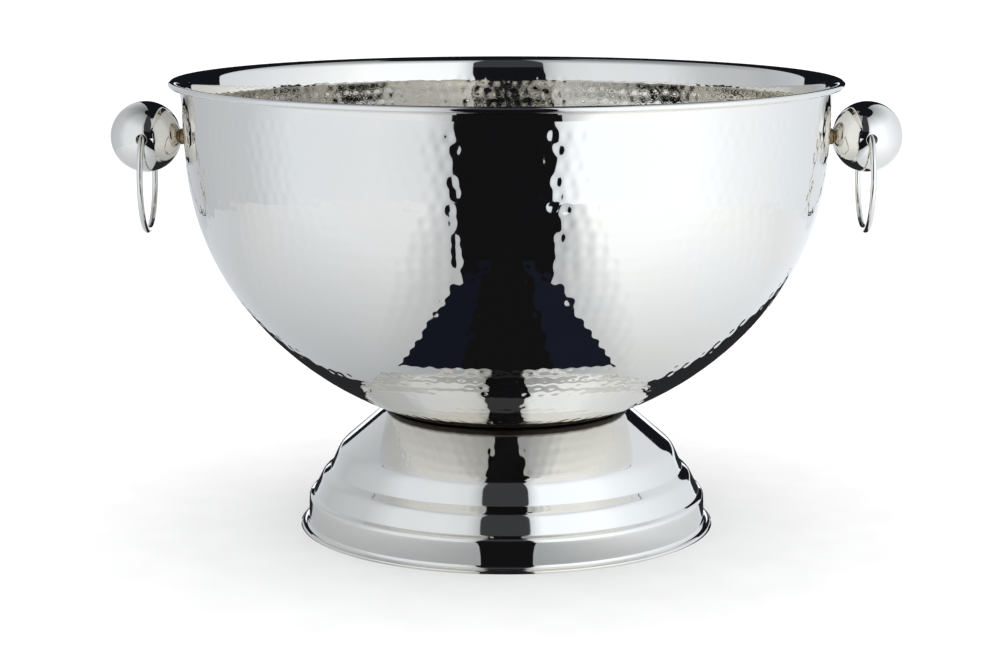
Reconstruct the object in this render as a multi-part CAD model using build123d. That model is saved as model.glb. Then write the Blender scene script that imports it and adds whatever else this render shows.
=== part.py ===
from build123d import *
import os
from math import asin, cos, degrees, radians, sin, sqrt, tan

# Footed drinks bowl in polished stainless sheet, with a hollow ball knob and a loose ring handle on
# each side. Millimetres, +Z up. The origin is on the bowl's axis, in the plane the foot stands on.
# The knobs are on the X axis. The hammered finish is a surface texture, so the sheet here is smooth.

# ---- bowl: one spun sheet, its outside three tangent arcs and a flare ----
sheet = 1.0                      # thickness of the bowl's and the foot's sheet
wall_radius = 180.9              # outside of the wall where it would stand upright
wall_arc_z = 245.5               # height of the upper arc's centre
upper_arc_radius = 446.0
upper_arc_end = -4.85            # degrees from the horizontal
side_arc_radius = 152.2
side_arc_end = -38.6
lower_arc_radius = 185.4
base_flat_radius = 57.0          # flat disc in the middle of the bottom
flare_z = 237.5                  # where the wall starts to lean outwards, above the hammering
flare_radius = 60.0
flare_lean = 12.6                # degrees from upright, at the lip
lip_top_radius = 5.1             # the sheet's inner face, where it turns outwards over the top
lip_tip_radius = 1.7             # where it rolls under
lip_under_slope = 14.0           # degrees that the closed underside falls towards the wall

# ---- foot: one spun sheet, closed on top by the dished seat that the bowl stands in ----
seat_gap = 0.12                  # between the bowl's bottom and the seat
crown_radius = 68.0              # where the seat turns over into the cone
step_corners = [(95.4, 44.3), (100.7, 32.6), (105.3, 28.9), (110.3, 18.8), (113.2, 17.3)]
bends = [3.0, 5.0, 16.0, 1.2, 7.0, 1.2, 3.0, 2.6]    # outside radius: seat, crown, corners, flange
bend_sides = [1, -1, -1, 1, -1, 1, -1, 1]            # -1 where the outside is convex
low_wall_radius = 113.6
foot_bead_centre = (118.2, 1.3)  # rolled edge that the foot stands on
foot_bead_radius = 1.3

# ---- fixing under the bowl: welded M8 stud, plate, lock washer, nut ----
base_stud_radius = 4.0
base_flange_radius = 8.0
base_flange_height = 1.0
seat_bore_radius = 8.5           # hole in the seat that clears the stud's flange
clamp_plate_radius = 30.0
clamp_plate_height = 2.0
lock_washer_radius = 7.4
lock_washer_height = 2.0
base_nut_flats = 13.0
base_nut_height = 6.5
stud_tail = 2.5                  # stud showing past the nut
stud_chamfer = 0.6
split_width = 1.2                # gap in the lock washer

# ---- knobs: hollow balls on M5 studs, with cap nuts inside the bowl ----
ball_radius = 20.0
ball_sheet = 0.8
ball_x = 202.4
ball_z = 221.0
knob_stud_radius = 2.5
knob_flange_radius = 6.0
knob_flange_height = 1.4
collar_radius = 4.5
washer_radius = 6.0
seal_height = 1.2
washer_height = 1.0
cap_nut_flats = 8.0
cap_nut_hex_height = 4.5
cap_nut_dome_radius = 3.75
cap_dome_sink = 0.6              # the dome's centre is this far inside the hexagon
cap_thread_run_out = 0.3         # thread past the stud's end
knob_stud_reach = 6.0            # stud inside the cap nut

# ---- ring handles: closed wire rings threaded through the balls ----
ring_hole_radius = 3.0
ring_wire_radius = 1.75
ring_radius = 30.0               # to the wire's centre
ring_drop = 22.71                # ring centre below ball centre, so the wire crosses the shell in its hole

# ---- gaps ----
thread_gap = 0.02                # radial, between a shank with a plain thread and its nut
hole_gap = 0.25                  # radial, between a shank and the holes it passes
contact_gap = 0.02               # between touching curved faces of different pieces


def at(radius, height):
    """A point of a turned section, which is drawn in the XZ plane."""
    return (radius, 0, height)


def around(centre, radius, angle):
    """The point (r, z) at a radius and an angle in degrees about a centre."""
    return (centre[0] + radius * cos(radians(angle)), centre[1] + radius * sin(radians(angle)))


def arc(centre, radius, start, end):
    """An arc of a turned section between two angles in degrees."""
    return ThreePointArc(*(at(*around(centre, radius, a)) for a in (start, (start + end) / 2, end)))


def turned(edges):
    """The solid of revolution about Z of a closed outline."""
    return revolve(make_face(edges), Axis.Z, 360)


def rod(radius, low, high, bore=0.0):
    """A round bar or washer on the Z axis between two heights."""
    bar = Pos(0, 0, low) * Cylinder(radius, high - low, align=(Align.CENTER, Align.CENTER, Align.MIN))
    if bore:
        bar -= Pos(0, 0, low) * Cylinder(bore, high - low, align=(Align.CENTER, Align.CENTER, Align.MIN))
    return bar


def hexagon(flats, low, high):
    """A hexagonal bar on the Z axis between two heights, its corners turned off at both ends."""
    prism = Pos(0, 0, low) * extrude(RegularPolygon(flats / 2, 6, major_radius=False), high - low)
    corner = flats / sqrt(3)
    face = 0.48 * flats
    slope = (corner - face) * tan(radians(30))
    barrel = turned(Polyline(
        at(0, low), at(face, low), at(corner, low + slope),
        at(corner, high - slope), at(face, high), at(0, high), at(0, low),
    ))
    return prism & barrel


# ---- centres of the bowl's arcs, found from the wall downwards ----
upper_centre = (wall_radius - upper_arc_radius, wall_arc_z)
side_centre = around(upper_centre, upper_arc_radius - side_arc_radius, upper_arc_end)
lower_centre = around(side_centre, side_arc_radius - lower_arc_radius, side_arc_end)
flare_start = -degrees(asin((wall_arc_z - flare_z) / upper_arc_radius))
flare_centre = around(upper_centre, upper_arc_radius + flare_radius, flare_start)


def bottom_z(radius):
    """Height of the bowl's outside at a radius on its lower arc."""
    return lower_centre[1] - sqrt(lower_arc_radius ** 2 - (radius - lower_centre[0]) ** 2)


def wall_x(height, inward=0.0):
    """Radius of the bowl's wall at a height on its upper arc, that far inside the outer face."""
    return upper_centre[0] + sqrt((upper_arc_radius - inward) ** 2 - (wall_arc_z - height) ** 2)


base_z = bottom_z(base_flat_radius)


def bowl_side(inward):
    """One face of the bowl's sheet, from the axis up to the lip, that far inside the outer face."""
    low_radius = lower_arc_radius - inward
    low_angle = -degrees(asin((lower_centre[1] - base_z - inward) / low_radius))
    flat_edge = around(lower_centre, low_radius, low_angle)
    return [
        Line(at(0, base_z + inward), at(*flat_edge)),
        arc(lower_centre, low_radius, low_angle, side_arc_end),
        arc(side_centre, side_arc_radius - inward, side_arc_end, upper_arc_end),
        arc(upper_centre, upper_arc_radius - inward, upper_arc_end, flare_start),
        arc(flare_centre, flare_radius + inward, 180 + flare_start, 180 - flare_lean),
    ]


def bowl():
    lean_end = 180 - flare_lean
    top_centre = around(flare_centre, flare_radius + sheet - lip_top_radius, lean_end)
    tip_centre = around(top_centre, lip_top_radius - lip_tip_radius, 90)
    under_start = around(tip_centre, lip_tip_radius, lip_under_slope - 90)
    *wall, flare = bowl_side(0)
    fall = Line(at(*under_start), at(*around(under_start, 3 * lip_top_radius, lip_under_slope - 180)))
    crease = flare.find_intersection_points(fall)[0]
    under_lean = degrees(asin((crease.Z - flare_centre[1]) / flare_radius))
    lip = [
        arc(flare_centre, flare_radius, 180 + flare_start, 180 - under_lean),
        Line(crease, at(*under_start)),
        arc(tip_centre, lip_tip_radius, lip_under_slope - 90, 90),
        arc(top_centre, lip_top_radius, 90, lean_end),
    ]
    solid = turned(wall + lip + bowl_side(sheet) + [Line(at(0, base_z), at(0, base_z + sheet))])
    hole = Pos(0, 0, ball_z) * Rot(0, 90, 0) * Cylinder(knob_stud_radius + hole_gap, 3 * wall_radius)
    return solid - hole


def offset_corners(points, distance):
    """The corners of a bent line moved sideways, to its right, by a distance."""
    sides = []
    for (r0, z0), (r1, z1) in zip(points, points[1:]):
        length = sqrt((r1 - r0) ** 2 + (z1 - z0) ** 2)
        sides.append(((z1 - z0) / length, (r0 - r1) / length))
    moved = [(points[0][0] + distance * sides[0][0], points[0][1] + distance * sides[0][1])]
    for (r, z), a, b in zip(points[1:-1], sides, sides[1:]):
        share = distance / (1 + a[0] * b[0] + a[1] * b[1])
        moved.append((r + share * (a[0] + b[0]), z + share * (a[1] + b[1])))
    moved.append((points[-1][0] + distance * sides[-1][0], points[-1][1] + distance * sides[-1][1]))
    return moved


def foot():
    bead_r, bead_z = foot_bead_centre
    top_join = (bead_r - sqrt(foot_bead_radius ** 2 - (sheet - bead_z) ** 2), sheet)
    seat_z = base_z - seat_gap
    outside = [
        (seat_bore_radius, seat_z),
        (base_flat_radius, seat_z),
        (crown_radius, bottom_z(crown_radius) - seat_gap),
        *step_corners,
        (low_wall_radius, sheet),
        top_join,
    ]
    inside = offset_corners(outside, sheet)
    inside[-1] = (bead_r, 0)
    inside_bends = [max(bend + sheet * side, 0.4) for bend, side in zip(bends, bend_sides)]
    return turned([
        FilletPolyline(*(at(*corner) for corner in outside), radius=bends),
        ThreePointArc(at(*top_join), at(bead_r + foot_bead_radius, bead_z), at(bead_r, 0)),
        FilletPolyline(*(at(*corner) for corner in inside), radius=inside_bends),
        Line(at(*inside[0]), at(*outside[0])),
    ])


def base_fixing():
    """The stud welded under the bowl, and what clamps the foot up against it."""
    flange_z = base_z - base_flange_height
    plate_top = base_z - seat_gap - sheet
    plate_low = plate_top - clamp_plate_height
    lock_low = plate_low - lock_washer_height
    nut_low = lock_low - base_nut_height
    stud = rod(base_flange_radius, flange_z, base_z) + rod(base_stud_radius, nut_low - stud_tail, flange_z)
    split = Box(2 * lock_washer_radius, split_width, 3 * lock_washer_height)
    nut_bore = base_stud_radius + thread_gap
    return {
        "base_stud": chamfer(stud.edges().sort_by(Axis.Z)[0], stud_chamfer),
        "clamp_plate": rod(clamp_plate_radius, plate_low, plate_top, base_stud_radius + hole_gap),
        "lock_washer": rod(lock_washer_radius, lock_low, plate_low, base_stud_radius + hole_gap)
        - Pos(lock_washer_radius, 0, lock_low) * split,
        "base_nut": hexagon(base_nut_flats, nut_low, lock_low) - rod(nut_bore, nut_low, lock_low),
    }


def lying(piece):
    """A piece drawn on the Z axis, laid along X at the knob's height, with its top end outward."""
    return Pos(0, 0, ball_z) * Rot(0, 90, 0) * piece


def within_wall(inward):
    """Everything inside one face of the bowl's wall, over the heights near a knob."""
    side, upper = bowl_side(inward)[2:4]
    low, high = side @ 0, upper @ 1
    lid = Polyline(high, at(0, high.Z), at(0, low.Z), low)
    return turned([side, upper, *lid.edges()])


def knob():
    """The pieces of the knob on the +X side, named as on both sides."""
    ball_centre = Pos(ball_x, 0, ball_z)
    hollow_radius = ball_radius - ball_sheet
    cross_hole = ball_centre * Rot(90, 0, 0) * Cylinder(ring_hole_radius, 3 * ball_radius)
    wall_face = wall_x(ball_z, sheet)
    mid_ball = ball_x - ball_radius / 2
    bore = knob_stud_radius + hole_gap

    flange_low = ball_x - sqrt(hollow_radius ** 2 - knob_flange_radius ** 2)
    flange_high = flange_low + knob_flange_height
    seal_low = wall_face - seal_height
    washer_low = seal_low - washer_height
    hex_low = washer_low - cap_nut_hex_height
    stud_low = washer_low - knob_stud_reach
    stud = rod(knob_stud_radius, stud_low, flange_low) + rod(knob_flange_radius, flange_low, flange_high)

    dome_height = cap_nut_dome_radius - cap_dome_sink
    dome = Pos(0, 0, hex_low + cap_dome_sink) * Sphere(cap_nut_dome_radius)
    dome &= rod(2 * cap_nut_dome_radius, hex_low - dome_height - 1, hex_low + cap_dome_sink)
    thread = rod(knob_stud_radius + thread_gap, stud_low - cap_thread_run_out, washer_low)

    collar = lying(rod(collar_radius, wall_face, mid_ball, bore))
    collar -= within_wall(-contact_gap)
    collar -= ball_centre * Sphere(ball_radius + contact_gap)
    seal = lying(rod(washer_radius, seal_low, wall_face + sheet, bore)) & within_wall(sheet + contact_gap)
    ball = ball_centre * (Sphere(ball_radius) - Sphere(hollow_radius))
    ring = Rot(0, 90, 0) * Torus(ring_radius, ring_wire_radius)
    return {
        "knob_ball": ball - cross_hole - lying(rod(bore, wall_face, mid_ball)),
        "knob_stud": lying(stud),
        "knob_collar": collar,
        "seal_washer": seal,
        "steel_washer": lying(rod(washer_radius, washer_low, seal_low, bore)),
        "cap_nut": lying(hexagon(cap_nut_flats, hex_low, washer_low) + dome - thread),
        "ring_handle": Pos(ball_x, 0, ball_z - ring_drop) * ring,
    }


pieces = {"bowl": bowl(), "foot": foot(), **base_fixing()}
for name, piece in knob().items():
    pieces["right_" + name] = piece
    pieces["left_" + name] = Rot(0, 0, 180) * piece

os.makedirs("parts", exist_ok=True)
for name, piece in pieces.items():
    export_step(piece, f"parts/{name}.step")
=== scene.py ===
import math

import bpy
import numpy as np
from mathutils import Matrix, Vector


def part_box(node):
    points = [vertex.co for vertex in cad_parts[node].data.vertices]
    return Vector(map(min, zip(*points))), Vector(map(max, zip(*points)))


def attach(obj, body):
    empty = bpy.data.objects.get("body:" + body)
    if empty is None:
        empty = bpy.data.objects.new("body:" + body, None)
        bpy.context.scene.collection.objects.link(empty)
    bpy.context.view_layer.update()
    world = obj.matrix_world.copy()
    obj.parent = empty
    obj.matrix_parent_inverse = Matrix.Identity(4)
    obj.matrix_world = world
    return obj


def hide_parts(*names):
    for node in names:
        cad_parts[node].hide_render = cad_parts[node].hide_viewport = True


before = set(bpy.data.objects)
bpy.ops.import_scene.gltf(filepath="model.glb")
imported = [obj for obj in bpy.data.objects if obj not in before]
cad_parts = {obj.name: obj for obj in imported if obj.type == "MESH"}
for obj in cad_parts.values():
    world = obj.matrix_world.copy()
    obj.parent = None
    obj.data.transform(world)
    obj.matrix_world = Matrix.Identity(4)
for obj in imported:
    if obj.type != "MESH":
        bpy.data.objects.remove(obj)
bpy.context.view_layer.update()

# Footed drinks bowl: hammered, mirror-polished steel on a spun foot, with a ball knob and a loose ring
# handle on each side. Profiles are in millimetres, as (radius, height), and become metres in the meshes.

MM = 0.001
SHARP_ANGLE = math.radians(40)    # edges bent further than this are creases
SHEET = 1.0

# ---- bowl profile: three tangent arcs, a flare, and a lip turned outwards and closed below ----
WALL_RADIUS = 180.9
WALL_ARC_Z = 245.5
UPPER_ARC = (446.0, -4.85)        # radius, angle of its lower end
SIDE_ARC = (152.2, -38.6)
LOWER_ARC_RADIUS = 185.4
BASE_FLAT_RADIUS = 57.0
FLARE_Z = 237.5
FLARE_RADIUS = 60.0
FLARE_LEAN = 12.6                 # degrees from upright, at the lip
LIP_TOP_RADIUS = 5.1              # the sheet's inner face, where it turns outwards over the top
LIP_TIP_RADIUS = 1.7              # where it rolls under
LIP_UNDER_SLOPE = 14.0            # degrees that the closed underside falls towards the wall

# ---- hammering: rows of shallow round dents, pressed in from outside ----
DENT_PITCH = 7.3
DENT_SPREAD = 1.9                 # standard deviation of one dent
DENT_DEPTH = 0.145
DENT_SHIFT = 0.6                  # how far a dent strays from its place
HAMMER_TOP_Z = 239.5              # middle of the top row of dents
HAMMER_LOW_RADIUS = 66.0
KNOB_SEAT = (7.0, 12.0)           # flat round each knob, and where the dents are full again
BOWL_COLUMNS = 960
BOWL_SEAM_SHADE = (69.7, 70.6)          # heights where the painted shade in the crevice over the foot is full, and where it ends
WALL_STEP = 1.25

# ---- foot profile ----
SEAT_GAP = 0.12
SEAT_BORE = 8.5
CROWN_RADIUS = 68.0
STEP_CORNERS = [(95.4, 44.3), (100.7, 32.6), (105.3, 28.9), (110.3, 18.8), (113.2, 17.3)]
BENDS = [3.0, 5.0, 16.0, 1.2, 7.0, 1.2, 3.0, 2.6]
BEND_SIDES = [1, -1, -1, 1, -1, 1, -1, 1]
LOW_WALL_RADIUS = 113.6
FOOT_BEAD = (118.2, 1.3)
FOOT_BEAD_RADIUS = 1.3
FOOT_SEAM_SHADE = (67.8, 67.2)          # painted shade in the crevice, as the bowl's, from above
FOOT_COLUMNS = 384

# ---- knobs and rings ----
BALL_SHEET = 0.8
RING_HOLE_RADIUS = 3.0
HOLE_EDGE = 0.25                  # rounding of the ring holes' edges
BALL_COLUMNS = 160
RING_COLUMNS = 220
WIRE_SIDES = 36

SIDES = ("left", "right")

# ---- studio ----
STEEL_WARM = (0.80, 0.765, 0.70)
STEEL_COOL = (0.79, 0.77, 0.73)
# painted shade: the dark colour of the crevice between bowl and foot
CREVICE_PAINTED_SHADE = (0.045, 0.036, 0.030)
CARD_TINT = (0.94, 1.01, 1.10)
SOFT_LIGHT = 1.4
PANEL_RADIUS = 0.75
SHADE_RADIUS = 0.131              # inner edge of the cards low in front, and their height
SHADE_HEIGHT = 0.075
FLOOR_REACH = 6.0
CAMERA_PLACE = (-0.0037, -1.35, 0.3542)
CAMERA_TILT = 10.32
CAMERA_LENS = 86.59


# ---------------------------------------------------------------- profiles

def around(centre, radius, angle):
    """The point (r, z) at a radius and an angle in degrees about a centre."""
    turn = math.radians(angle)
    return np.array([centre[0] + radius * math.cos(turn), centre[1] + radius * math.sin(turn)])


def arc(centre, radius, start, end, step):
    """Points along an arc, no further apart than step."""
    count = max(2, math.ceil(abs(radius * math.radians(end - start)) / step) + 1)
    return [around(centre, radius, a) for a in np.linspace(start, end, count)]


def straight(start, end, step):
    """Points along a straight run, no further apart than step."""
    start, end = np.array(start, float), np.array(end, float)
    count = max(2, math.ceil(np.linalg.norm(end - start) / step) + 1)
    return [start + (end - start) * t for t in np.linspace(0, 1, count)]


def joined(*runs):
    """Runs of points end to end, without repeated points."""
    points = [np.array(runs[0][0], float)]
    for run in runs:
        for point in run:
            if np.linalg.norm(point - points[-1]) > 1e-4:
                points.append(np.array(point, float))
    return np.array(points)


def filleted(corners, radii, step):
    """Points along a bent line whose corners are rounded."""
    points = [np.array(corners[0], float)]
    for before, corner, after, radius in zip(corners, corners[1:-1], corners[2:], radii):
        before, corner, after = (np.array(p, float) for p in (before, corner, after))
        a = (before - corner) / np.linalg.norm(before - corner)
        b = (after - corner) / np.linalg.norm(after - corner)
        half = math.acos(np.clip(a @ b, -1, 1)) / 2
        centre = corner + (a + b) / np.linalg.norm(a + b) * radius / math.sin(half)
        first = corner + a * radius / math.tan(half) - centre
        last = corner + b * radius / math.tan(half) - centre
        start = math.degrees(math.atan2(first[1], first[0]))
        turn = (math.degrees(math.atan2(last[1], last[0])) - start + 180) % 360 - 180
        bend = arc(centre, radius, start, start + turn, min(step, radius * 0.2))
        points += straight(points[-1], bend[0], step) + bend
    points += straight(points[-1], corners[-1], step)
    return joined(points)


def offset_corners(corners, distance):
    """The corners of a bent line moved sideways, to its right, by a distance."""
    corners = np.array(corners, float)
    runs = np.diff(corners, axis=0)
    sides = np.stack([runs[:, 1], -runs[:, 0]], 1) / np.linalg.norm(runs, axis=1)[:, None]
    moved = [corners[0] + distance * sides[0]]
    for corner, a, b in zip(corners[1:-1], sides, sides[1:]):
        moved.append(corner + distance * (a + b) / (1 + a @ b))
    moved.append(corners[-1] + distance * sides[-1])
    return moved


def side_normals(points):
    """Unit normals of a profile, to the right of its direction."""
    along = np.gradient(points, axis=0)
    normals = np.stack([along[:, 1], -along[:, 0]], 1)
    return normals / np.linalg.norm(normals, axis=1)[:, None]


# ---------------------------------------------------------------- meshes

def grid_mesh(name, grid, closed=False):
    """A mesh over rings of points, in metres. closed joins the last ring to the first, and otherwise one
    point closes each end."""
    rings, columns = grid.shape[:2]
    points = [grid.reshape(-1, 3)]
    faces = []
    for i in range(rings if closed else rings - 1):
        low, high = i * columns, (i + 1) % rings * columns
        for j in range(columns):
            k = (j + 1) % columns
            faces.append((low + j, low + k, high + k, high + j))
    if not closed:
        for pole, ring in enumerate((0, rings - 1)):
            points.append(grid[ring].mean(axis=0)[None])
            middle = rings * columns + pole
            for j in range(columns):
                pair = (ring * columns + j, ring * columns + (j + 1) % columns)
                faces.append((middle, *(pair if pole else reversed(pair))))
    return make_mesh(name, np.concatenate(points), faces)


def make_mesh(name, points, faces):
    mesh = bpy.data.meshes.new(name)
    mesh.from_pydata(points, [], faces)
    mesh.shade_smooth()
    mesh.set_sharp_from_angle(angle=SHARP_ANGLE)
    mesh.validate()
    piece = bpy.data.objects.new(name, mesh)
    bpy.context.scene.collection.objects.link(piece)
    return piece


def spin(profile, columns):
    """Rings of points about Z, in metres, from a profile in millimetres."""
    angles = np.arange(columns) * 2 * math.pi / columns
    ring = np.stack([np.cos(angles), np.sin(angles)], 1)
    flat = profile[:, 0][:, None, None] * ring[None]
    height = np.broadcast_to(profile[:, 1][:, None, None], flat.shape[:2] + (1,))
    return np.concatenate([flat, height], 2) * MM


def smooth_step(value, start, end):
    t = np.clip((value - start) / (end - start), 0, 1)
    return t * t * (3 - 2 * t)


# ---------------------------------------------------------------- bowl

upper_centre = (WALL_RADIUS - UPPER_ARC[0], WALL_ARC_Z)
side_centre = around(upper_centre, UPPER_ARC[0] - SIDE_ARC[0], UPPER_ARC[1])
lower_centre = around(side_centre, SIDE_ARC[0] - LOWER_ARC_RADIUS, SIDE_ARC[1])
flare_start = -math.degrees(math.asin((WALL_ARC_Z - FLARE_Z) / UPPER_ARC[0]))
flare_centre = around(upper_centre, UPPER_ARC[0] + FLARE_RADIUS, flare_start)


def bottom_z(radius):
    """Height of the bowl's outside at a radius on its lower arc."""
    return lower_centre[1] - math.sqrt(LOWER_ARC_RADIUS ** 2 - (radius - lower_centre[0]) ** 2)


BASE_Z = bottom_z(BASE_FLAT_RADIUS)


def wall_profile():
    """The bowl's outer face from near the axis to the flare's end, and the unit normals out of the sheet."""
    low_angle = math.degrees(math.atan2(BASE_Z - lower_centre[1], BASE_FLAT_RADIUS - lower_centre[0]))
    points = joined(
        straight((3.0, BASE_Z), (BASE_FLAT_RADIUS - 3.0, BASE_Z), 10.0),
        straight((BASE_FLAT_RADIUS - 3.0, BASE_Z), (BASE_FLAT_RADIUS, BASE_Z), WALL_STEP),
        arc(lower_centre, LOWER_ARC_RADIUS, low_angle, SIDE_ARC[1], WALL_STEP),
        arc(side_centre, SIDE_ARC[0], SIDE_ARC[1], UPPER_ARC[1], WALL_STEP),
        arc(upper_centre, UPPER_ARC[0], UPPER_ARC[1], flare_start, WALL_STEP),
        arc(flare_centre, FLARE_RADIUS, 180 + flare_start, 180 - FLARE_LEAN, WALL_STEP),
    )
    return points, side_normals(points)


def lip_profile(wall):
    """The last point of the wall's outside below the lip, and the lip from its crease to the inside."""
    lean_end = 180 - FLARE_LEAN
    top_centre = around(flare_centre, FLARE_RADIUS + SHEET - LIP_TOP_RADIUS, lean_end)
    tip_centre = around(top_centre, LIP_TOP_RADIUS - LIP_TIP_RADIUS, 90)
    under_start = around(tip_centre, LIP_TIP_RADIUS, LIP_UNDER_SLOPE - 90)
    slope = math.tan(math.radians(LIP_UNDER_SLOPE))
    above = wall[:, 1] - (under_start[1] - slope * (under_start[0] - wall[:, 0]))
    last = np.where(above < 0)[0][-1]
    share = above[last] / (above[last] - above[last + 1])
    crease = wall[last] + (wall[last + 1] - wall[last]) * share
    return last, joined(
        straight(crease, under_start, 0.8),
        arc(tip_centre, LIP_TIP_RADIUS, LIP_UNDER_SLOPE - 90, 90, 0.22),
        arc(top_centre, LIP_TOP_RADIUS, 90, lean_end, 0.4),
    )[:-1]


def hammering(points, columns, rng):
    """How far each point of the wall is pressed in, in millimetres, by rows of round dents."""
    run = np.concatenate([[0], np.cumsum(np.linalg.norm(np.diff(points, axis=0), axis=1))])
    radii = points[:, 0]
    hammered = (radii > HAMMER_LOW_RADIUS) & (points[:, 1] < HAMMER_TOP_Z)
    first, last = run[hammered][0], run[hammered][-1]
    angles = np.arange(columns) * 2 * math.pi / columns
    pressed = np.zeros((len(points), columns))
    for row, middle in enumerate(np.arange(last, first, -DENT_PITCH)):
        radius = np.interp(middle, run, radii)
        count = round(2 * math.pi * radius / DENT_PITCH)
        pitch = 2 * math.pi / count
        places = (np.arange(count) + 0.5 * (row % 2)) * pitch + rng.normal(0, DENT_SHIFT / radius, count)
        heights = middle + rng.normal(0, DENT_SHIFT, count)
        depths = DENT_DEPTH * rng.uniform(0.65, 1.35, count)
        near = np.where(abs(run - middle) < 3.2 * DENT_SPREAD + 3 * DENT_SHIFT)[0]
        nearest = np.round(angles / pitch - 0.5 * (row % 2)).astype(int)
        for side in (-1, 0, 1):
            dent = (nearest + side) % count
            across = (angles - places[dent] + math.pi) % (2 * math.pi) - math.pi
            for i in near:
                square = (across * radii[i]) ** 2 + (run[i] - heights[dent]) ** 2
                pressed[i] += depths[dent] * np.exp(-square / (2 * DENT_SPREAD ** 2))
    return pressed


def knob_fade(points, columns, knob_z):
    """0 on the flat seat of each knob, 1 away from it."""
    angles = np.arange(columns) * 2 * math.pi / columns
    y = points[:, 0][:, None] * np.sin(angles)
    distance = np.hypot(y, (points[:, 1] - knob_z)[:, None])
    return smooth_step(distance, *KNOB_SEAT)


def bowl_mesh():
    rng = np.random.default_rng(11)
    wall, normals = wall_profile()
    last, lip = lip_profile(wall)
    low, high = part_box("right_knob_ball")
    knob_z = (low.z + high.z) / 2 / MM
    pressed = hammering(wall, BOWL_COLUMNS, rng) * knob_fade(wall, BOWL_COLUMNS, knob_z)
    pressed *= smooth_step(wall[:, 0], HAMMER_LOW_RADIUS - 3, HAMMER_LOW_RADIUS + 6)[:, None]
    turned = spin(wall, BOWL_COLUMNS)
    out = spin(normals, BOWL_COLUMNS) / MM
    out[..., 2] = normals[:, 1][:, None]
    outside = turned - out * pressed[..., None] * MM
    inside = outside - out * SHEET * MM
    grid = np.concatenate([outside[:last + 1], spin(lip, BOWL_COLUMNS), inside[::-1]])
    return grid_mesh("hammered_bowl", grid)


# ---------------------------------------------------------------- foot

def foot_mesh():
    seat_z = BASE_Z - SEAT_GAP
    bead_r, bead_z = FOOT_BEAD
    join = (bead_r - math.sqrt(FOOT_BEAD_RADIUS ** 2 - (SHEET - bead_z) ** 2), SHEET)
    outside = [
        (SEAT_BORE, seat_z),
        (BASE_FLAT_RADIUS, seat_z),
        (CROWN_RADIUS, bottom_z(CROWN_RADIUS) - SEAT_GAP),
        *STEP_CORNERS,
        (LOW_WALL_RADIUS, SHEET),
        join,
    ]
    inside = offset_corners(outside, SHEET)
    inside[-1] = np.array([bead_r, 0.0])
    inside_bends = [max(bend + SHEET * side, 0.4) for bend, side in zip(BENDS, BEND_SIDES)]
    start = math.degrees(math.atan2(SHEET - bead_z, join[0] - bead_r))
    profile = joined(
        filleted(outside, BENDS, 2.0),
        arc(FOOT_BEAD, FOOT_BEAD_RADIUS, start, -90, 0.25),
        filleted(inside, inside_bends, 2.0)[::-1],
    )
    return grid_mesh("spun_foot", spin(profile, FOOT_COLUMNS), closed=True)


# ---------------------------------------------------------------- knobs and rings

def ball_mesh(name, centre, radius):
    """A hollow ball, turned about Y, whose ends are open where the ring goes through."""
    hollow = radius - BALL_SHEET
    outer = math.degrees(math.asin((RING_HOLE_RADIUS + HOLE_EDGE) / radius))
    inner = math.degrees(math.asin((RING_HOLE_RADIUS + HOLE_EDGE) / hollow))
    end = math.sqrt(radius ** 2 - RING_HOLE_RADIUS ** 2)
    hollow_end = math.sqrt(hollow ** 2 - RING_HOLE_RADIUS ** 2)
    rounding = [
        (RING_HOLE_RADIUS + 0.3 * HOLE_EDGE, end - 0.15 * HOLE_EDGE),
        (RING_HOLE_RADIUS, end - 0.6 * HOLE_EDGE),
    ]
    profile = joined(
        [(r, -y) for r, y in reversed(rounding)],
        arc((0, 0), radius, outer - 90, 90 - outer, 0.8),
        rounding,
        [(RING_HOLE_RADIUS, hollow_end + 0.1)],
        arc((0, 0), hollow, 90 - inner, inner - 90, 1.6),
        [(RING_HOLE_RADIUS, -hollow_end - 0.1)],
    )
    turned = spin(profile, BALL_COLUMNS)
    turned = turned[..., [0, 2, 1]] * np.array([1, 1, -1])
    return grid_mesh(name, turned + np.array(centre), closed=True)


def ring_mesh(name, centre, radius, wire):
    """A closed ring of round wire in the YZ plane, in metres."""
    around_ring = np.arange(RING_COLUMNS) * 2 * math.pi / RING_COLUMNS
    around_wire = np.arange(WIRE_SIDES) * 2 * math.pi / WIRE_SIDES
    reach = radius + wire * np.cos(around_wire)
    x = np.broadcast_to(wire * np.sin(around_wire), (RING_COLUMNS, WIRE_SIDES))
    y = np.cos(around_ring)[:, None] * reach
    z = np.sin(around_ring)[:, None] * reach
    return grid_mesh(name, np.stack([x, y, z], 2) + np.array(centre), closed=True)


# ---------------------------------------------------------------- materials

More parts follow.
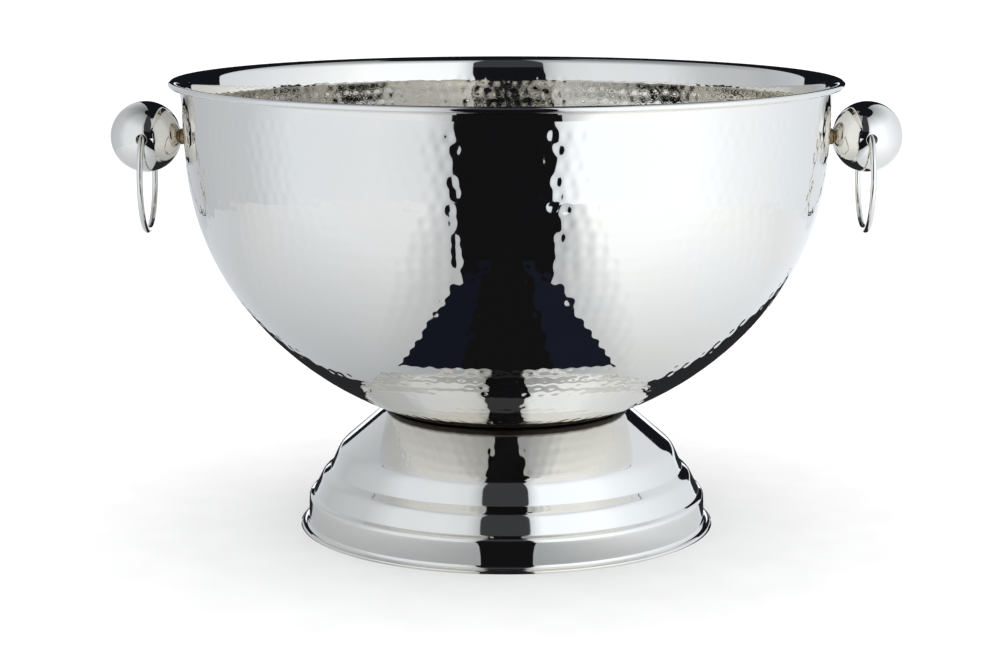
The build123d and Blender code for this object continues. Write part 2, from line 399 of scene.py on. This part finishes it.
class Paint:
    """A node material under construction."""

    def __init__(self, name):
        self.material = bpy.data.materials.new(name)
        self.material.use_nodes = True
        self.tree = self.material.node_tree
        self.shader = self.tree.nodes["Principled BSDF"]
        self.place = self.add("TexCoord").outputs["Object"]

    def add(self, kind, settings=None, **inputs):
        """A new node with its settings, and its inputs set to values or linked to sockets."""
        made = self.tree.nodes.new("ShaderNode" + kind)
        for key, value in (settings or {}).items():
            setattr(made, key, value)
        for key, value in inputs.items():
            self.feed(made.inputs[key.replace("_", " ")], value)
        return made

    def feed(self, socket, value):
        if isinstance(value, bpy.types.NodeSocket):
            self.tree.links.new(value, socket)
        else:
            socket.default_value = value

    def set(self, **inputs):
        for key, value in inputs.items():
            self.feed(self.shader.inputs[key.replace("_", " ")], value)

    def noise(self, scale, detail=3.0, place=None):
        """Soft random values from 0 to 1, with scale waves to the metre."""
        made = self.add("TexNoise", Vector=place or self.place, Scale=scale, Detail=detail)
        return made.outputs[0]

    def ranged(self, value, low, high, start=0.3, end=0.7):
        made = self.add("MapRange", Value=value, From_Min=start, From_Max=end, To_Min=low, To_Max=high)
        return made.outputs["Result"]

    def mixed(self, value, first, second):
        made = self.add("Mix", {"data_type": "RGBA"})
        self.feed(made.inputs["Factor"], value)
        for socket, colour in ((made.inputs[6], first), (made.inputs[7], second)):
            self.feed(socket, colour if isinstance(colour, bpy.types.NodeSocket) else (*colour, 1.0))
        return made.outputs[2]

    def seam_shade_mask(self, full, none):
        """1 at the height full and past it, and 0 from the height none on: where the crevice between bowl
        and foot gets painted shade. A seam under the piece leaves its upper faces clean."""
        height = self.add("SeparateXYZ", Vector=self.place).outputs["Z"]
        near = self.ranged(height, 0, 1, none * MM, full * MM)
        if full > none:
            return near
        facing = self.add("SeparateXYZ", Vector=self.add("NewGeometry").outputs["Normal"]).outputs["Z"]
        return self.product(near, self.ranged(facing, 1, 0, -0.2, 0.0))

    def product(self, first, second):
        made = self.add("Math", {"operation": "MULTIPLY"})
        self.feed(made.inputs[0], first)
        self.feed(made.inputs[1], second)
        return made.outputs[0]

    def turned(self, axis=2):
        """Places that are the same all the way round an axis, so that a texture makes lines round it."""
        split = self.add("SeparateXYZ", Vector=self.place)
        across = [split.outputs[i] for i in range(3) if i != axis]
        flat = self.add("CombineXYZ", X=across[0], Y=across[1])
        reach = self.add("VectorMath", {"operation": "LENGTH"})
        self.feed(reach.inputs[0], flat.outputs[0])
        return self.add("CombineXYZ", X=reach.outputs["Value"], Y=split.outputs[axis]).outputs[0]

    def bump(self, height, strength, distance, normal=None):
        made = self.add("Bump", Strength=strength, Distance=distance, Height=height)
        if normal:
            self.feed(made.inputs["Normal"], normal)
        return made.outputs[0]


def polished_steel(name, line_strength, haze, shade_heights=None):
    """Mirror-polished stainless steel: nearly even, with fine polishing lines, a faint haze and soft waves.
    The last argument gives the heights where the painted shade in the crevice between bowl and foot is full
    and where it ends."""
    paint = Paint(name)
    colour = paint.mixed(paint.ranged(paint.noise(14), 0, 1), STEEL_WARM, STEEL_COOL)
    smear = paint.ranged(paint.noise(45, 5), haze[0], haze[1])
    # painted shade: the crevice between bowl and foot is darkened in colour and made rougher
    if shade_heights:
        darkening = paint.seam_shade_mask(*shade_heights)
        colour = paint.mixed(darkening, colour, CREVICE_PAINTED_SHADE)
        smear = paint.ranged(darkening, smear, 0.45, 0, 1)
    lines = paint.noise(2200, 2, paint.turned())
    fine = paint.bump(lines, line_strength, 0.00003)
    paint.set(Base_Color=colour, Metallic=1.0, Roughness=smear, Normal=fine)
    return paint.material


def brushed_steel():
    """Turned and stamped fixings: visible tool lines, and a duller surface with small marks."""
    paint = Paint("machined_steel")
    colour = paint.mixed(paint.ranged(paint.noise(160), 0, 1), (0.56, 0.55, 0.53), (0.66, 0.65, 0.63))
    lines = paint.noise(3800, 3, paint.turned())
    marks = paint.noise(900, 4)
    rough = paint.ranged(marks, 0.22, 0.38)
    normal = paint.bump(lines, 0.25, 0.00005, paint.bump(marks, 0.12, 0.00005))
    paint.set(Base_Color=colour, Metallic=1.0, Roughness=rough, Normal=normal)
    return paint.material


def collar_brass():
    """Turned brass between each ball and the wall, darker where it has tarnished."""
    paint = Paint("turned_brass")
    along = paint.turned(axis=0)
    darkening = paint.ranged(paint.noise(420, 2, along), 0, 1)
    colour = paint.mixed(darkening, (0.30, 0.21, 0.11), (0.10, 0.07, 0.04))
    rough = paint.ranged(paint.noise(260, 3), 0.10, 0.22)
    lines = paint.noise(2400, 2, along)
    paint.set(Base_Color=colour, Metallic=1.0, Roughness=rough, Normal=paint.bump(lines, 0.06, 0.00005))
    return paint.material


def seal_rubber():
    """Black rubber with a fine moulded grain and a dusty bloom."""
    paint = Paint("black_rubber")
    bloom = paint.ranged(paint.noise(260, 4), 0, 1)
    colour = paint.mixed(bloom, (0.012, 0.012, 0.013), (0.032, 0.031, 0.030))
    rough = paint.ranged(paint.noise(1500, 3), 0.5, 0.75)
    paint.set(Base_Color=colour, Roughness=rough, Normal=paint.bump(paint.noise(2600, 2), 0.3, 0.0001))
    return paint.material


# ---------------------------------------------------------------- studio

def round_point(azimuth, radius, z):
    """A point round the object: azimuth 0 is towards the camera, and grows to the right."""
    turn = math.radians(azimuth)
    return radius * math.sin(turn), -radius * math.cos(turn), z


def glow_material(name, tint):
    """Light from a studio card, as strong as the card's own glow attribute says."""
    material = bpy.data.materials.new(name)
    material.use_nodes = True
    tree = material.node_tree
    tree.nodes.clear()
    glow = tree.nodes.new("ShaderNodeAttribute")
    glow.attribute_name = "glow"
    light = tree.nodes.new("ShaderNodeEmission")
    light.inputs["Color"].default_value = (*tint, 1.0)
    output = tree.nodes.new("ShaderNodeOutputMaterial")
    tree.links.new(glow.outputs["Fac"], light.inputs["Strength"])
    tree.links.new(light.outputs[0], output.inputs["Surface"])
    return material


def one_sided(material):
    """Lets light through a card's back, and hides the card from reflections of reflections."""
    tree = material.node_tree
    output = tree.nodes["Material Output"]
    front = output.inputs["Surface"].links[0].from_socket
    clear = tree.nodes.new("ShaderNodeBsdfTransparent")
    later = tree.nodes.new("ShaderNodeMath")
    later.operation = "GREATER_THAN"
    later.inputs[1].default_value = 1.5
    tree.links.new(tree.nodes.new("ShaderNodeLightPath").outputs["Ray Depth"], later.inputs[0])
    hidden = tree.nodes.new("ShaderNodeMath")
    hidden.operation = "MAXIMUM"
    tree.links.new(tree.nodes.new("ShaderNodeNewGeometry").outputs["Backfacing"], hidden.inputs[0])
    tree.links.new(later.outputs[0], hidden.inputs[1])
    mix = tree.nodes.new("ShaderNodeMixShader")
    tree.links.new(hidden.outputs[0], mix.inputs["Fac"])
    tree.links.new(front, mix.inputs[1])
    tree.links.new(clear.outputs[0], mix.inputs[2])
    tree.links.new(mix.outputs[0], output.inputs["Surface"])
    return material


def card(name, points, faces, glow, material):
    """A lit or dark card that only reflections see."""
    piece = make_mesh(name, points, faces)
    values = piece.data.attributes.new("glow", "FLOAT", "POINT")
    values.data.foreach_set("value", np.array(glow, np.float32))
    piece.data.materials.append(material)
    piece.visible_camera = False
    piece.visible_diffuse = False
    piece.visible_shadow = False
    return piece


def curved_panel(name, azimuths, profile, glow, fade, material):
    """A panel that curves round the object. glow gives its light at an azimuth, fade at a share of its
    height."""
    angles = np.linspace(*azimuths, round((azimuths[1] - azimuths[0]) / 1.5) + 1)
    run = joined(*(straight(a, b, 0.1) for a, b in zip(profile, profile[1:])))
    shares = np.linspace(0, 1, len(run))
    points = [round_point(a, r, z) for r, z in run for a in angles]
    levels = [glow(a) * fade(s) for s in shares for a in angles]
    width = len(angles)
    faces = [
        (i * width + j, i * width + j + 1, (i + 1) * width + j + 1, (i + 1) * width + j)
        for i in range(len(run) - 1)
        for j in range(width - 1)
    ]
    return card(name, points, faces, levels, material)


def floor_patch(name, left, right, level, material, z=0.0006):
    """A dark patch over the floor between two edges, given from front to back as (x, y)."""
    points = [(x, y, z) for edge in (left, right) for x, y in edge]
    count = len(left)
    faces = [(i, count + i, count + i + 1, i + 1) for i in range(count - 1)]
    return card(name, points, faces, [level] * len(points), material)


def levels_at(stops):
    """A function that reads values between (place, value) stops."""
    places, values = zip(*stops)
    return lambda place: float(np.interp(place, places, values))


def mirrored(edge):
    return [(-x, y) for x, y in edge]


def build_cards():
    light = glow_material("card_light", CARD_TINT)
    dark = glow_material("card_dark", (0.9, 0.95, 1.1))
    grey = levels_at([
        (-152, 0.7), (-125, 0.6), (-110, 0.66), (-90, 0.71), (-70, 0.95), (-40, 0.99), (-25, 0.93),
        (-20, 0.78), (-16, 0.58),
    ])
    curved_panel(
        "left_panel", (-152, -16),
        [(PANEL_RADIUS, 0.0), (PANEL_RADIUS, 0.8), (0.40, 1.25), (0.25, 1.38)], grey,
        levels_at([(0, 1), (0.4, 0.95), (0.62, 0.65), (1, 0.30)]), light,
    )
    bright = levels_at([
        (14, 0.8), (18, 1.1), (22, 1.3), (60, 1.35), (75, 1.2), (98, 1.06), (115, 0.97), (143, 0.87),
    ])
    curved_panel(
        "right_panel", (14.3, 143),
        [(PANEL_RADIUS, 0.0), (PANEL_RADIUS, 0.7), (0.45, 1.3)], bright,
        levels_at([(0, 1), (0.45, 0.95), (0.7, 0.6), (1, 0.35)]), light,
    )
    even = levels_at([(0, 1), (1, 1)])
    header = [(0.9, 0.56), (0.9, 1.2), (0.35, 1.6)]
    curved_panel("header", (-17, 17), header, levels_at([(0, 0.055)]), even, dark)
    curved_panel("backdrop", (160, 200), [(1.25, 0.0), (1.25, 0.30)], levels_at([(0, 1.35)]), even, light)
    front = [(-0.01, -0.1), (-0.024, -0.15), (-0.25, -0.82), (-0.4, -1.3), (-0.68, -2.3), (-1.85, -6.0)]
    floor_patch("front_strip", front, mirrored(front), 0.008, dark)
    navy = one_sided(glow_material("card_navy", (0.6, 0.75, 1.35)))
    black = one_sided(glow_material("card_black", (0.95, 1.0, 1.05)))
    for name, first, last, level, material in (
        ("shade_left", -33, -13, 0.014, navy),
        ("shade_middle", -13, 13, 0.008, black),
        ("shade_right", 13, 33, 0.018, navy),
    ):
        near = [round_point(azimuth, SHADE_RADIUS, 0)[:2] for azimuth in np.linspace(last, first, 5)]
        far = [(0.78 * x, 1.9 * abs(0.78 * x) - 0.33) for x, y in near]
        floor_patch(name, far, near, level, material, z=SHADE_HEIGHT)
    # painted shadow: a dark card on the floor behind the bowl stands in for its shadow in reflections
    behind_left = [(-0.12, 0.0), (-0.145, 0.04), (-0.173, 0.1), (-0.212, 0.21), (-0.275, 0.48)]
    behind_right = [(0.12, 0.0), (0.155, 0.04), (0.242, 0.14), (0.297, 0.3), (0.35, 0.48)]
    floor_patch("rear_painted_shadow", behind_left, behind_right, 0.025, dark)


def floor_material():
    """A pale matt floor. In reflections it carries painted shade, darker on the left, behind, and beside the
    dark strip in front, as if lit from the front right."""
    paint = Paint("pale_floor")
    across = paint.add("SeparateXYZ", Vector=paint.place)
    side, back = across.outputs["X"], across.outputs["Y"]
    depth = paint.ranged(back, 0, 1, -0.3, 0.15)
    left = paint.mixed(depth, (0.68, 0.72, 0.775), (0.50, 0.53, 0.57))
    right = paint.mixed(depth, (0.90, 0.95, 1.0), (0.68, 0.72, 0.77))
    open_floor = paint.mixed(paint.ranged(side, 0, 1, -0.12, 0.12), left, right)
    reach = paint.add("Math", {"operation": "ABSOLUTE"})
    paint.feed(reach.inputs[0], side)
    past_strip = paint.add("Math", {"operation": "MULTIPLY_ADD"})
    for socket, value in zip(past_strip.inputs, (back, 0.33, reach.outputs[0])):
        paint.feed(socket, value)
    beside_strip = paint.ranged(past_strip.outputs[0], 0, 1, -0.02, 0.10)
    # painted shade beside the dark strip, over the painted light and shade of the open floor
    seen = paint.mixed(beside_strip, (0.42, 0.45, 0.49), open_floor)
    grain = paint.ranged(paint.noise(30, 4), 0, 1)
    own = paint.mixed(grain, (0.85, 0.85, 0.85), (0.88, 0.88, 0.88))
    mirrored_ray = paint.add("LightPath").outputs["Is Glossy Ray"]
    choice = paint.add("Mix", {"data_type": "RGBA"})
    paint.feed(choice.inputs["Factor"], mirrored_ray)
    paint.feed(choice.inputs[6], own)
    paint.feed(choice.inputs[7], seen)
    paint.set(Base_Color=choice.outputs[2], Roughness=0.9, Specular_IOR_Level=0.0)
    return paint.material


def build_floor():
    points = [(x * FLOOR_REACH, y * FLOOR_REACH, 0) for x, y in ((-1, -1), (1, -1), (1, 1), (-1, 1))]
    floor = make_mesh("floor", points, [(0, 1, 2, 3)])
    floor.data.materials.append(floor_material())


def build_world():
    """Soft white light from all round, while reflections see a dark studio behind the cards."""
    world = bpy.data.worlds.new("studio")
    world.use_nodes = True
    tree = world.node_tree
    tree.nodes.clear()
    output = tree.nodes.new("ShaderNodeOutputWorld")
    ray = tree.nodes.new("ShaderNodeLightPath")
    mix = tree.nodes.new("ShaderNodeMixShader")
    soft, dark = (tree.nodes.new("ShaderNodeBackground") for _ in range(2))
    soft.inputs["Color"].default_value = (1, 1, 1, 1)
    soft.inputs["Strength"].default_value = SOFT_LIGHT
    dark.inputs["Color"].default_value = (0.008, 0.009, 0.013, 1)
    tree.links.new(ray.outputs["Is Glossy Ray"], mix.inputs["Fac"])
    tree.links.new(soft.outputs[0], mix.inputs[1])
    tree.links.new(dark.outputs[0], mix.inputs[2])
    tree.links.new(mix.outputs[0], output.inputs["Surface"])
    bpy.context.scene.world = world


def build_camera():
    data = bpy.data.cameras.new("camera")
    data.lens = CAMERA_LENS
    camera = bpy.data.objects.new("camera", data)
    camera.location = CAMERA_PLACE
    camera.rotation_euler = (math.radians(90 - CAMERA_TILT), 0, 0)
    bpy.context.scene.collection.objects.link(camera)
    bpy.context.scene.camera = camera


# ---------------------------------------------------------------- the object

def dress(piece, material):
    piece.data.materials.clear()
    piece.data.materials.append(material)


def place(piece, body, node, slot, material):
    """Puts a finished piece where its CAD node is."""
    dress(piece, material)
    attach(piece, body)
    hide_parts(node)


def build_object():
    bowl_steel = polished_steel("hammered_steel", 0.02, (0.015, 0.04), BOWL_SEAM_SHADE)
    foot_steel = polished_steel("spun_steel", 0.06, (0.02, 0.06), FOOT_SEAM_SHADE)
    knob_steel = polished_steel("ball_steel", 0.02, (0.015, 0.035))
    wire_steel = polished_steel("wire_steel", 0.04, (0.03, 0.07))
    brass, rubber, fixings = collar_brass(), seal_rubber(), brushed_steel()

    place(bowl_mesh(), "bucket", "bowl", "bowl_steel", bowl_steel)
    place(foot_mesh(), "bucket", "foot", "foot_steel", foot_steel)
    for side in SIDES:
        low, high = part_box(f"{side}_knob_ball")
        radius = (high.x - low.x) / 2 / MM
        ball = ball_mesh(f"{side}_ball", (low + high) / 2, radius)
        place(ball, "bucket", f"{side}_knob_ball", "knob_steel", knob_steel)
        low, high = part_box(f"{side}_ring_handle")
        wire = (high.x - low.x) / 2
        ring = ring_mesh(f"{side}_ring", (low + high) / 2, (high.z - low.z) / 2 - wire, wire)
        place(ring, f"{side}_ring", f"{side}_ring_handle", "ring_steel", wire_steel)
        dress(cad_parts[f"{side}_knob_collar"], brass)
        dress(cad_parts[f"{side}_seal_washer"], rubber)
        for name in ("knob_stud", "steel_washer", "cap_nut"):
            dress(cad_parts[f"{side}_{name}"], fixings)
    for name in ("base_stud", "clamp_plate", "lock_washer", "base_nut"):
        dress(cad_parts[name], fixings)


build_object()
build_cards()
build_floor()
build_world()
build_camera()

scene = bpy.context.scene
scene.view_settings.view_transform = "Standard"
scene.cycles.glossy_bounces = 10
scene.cycles.max_bounces = 14
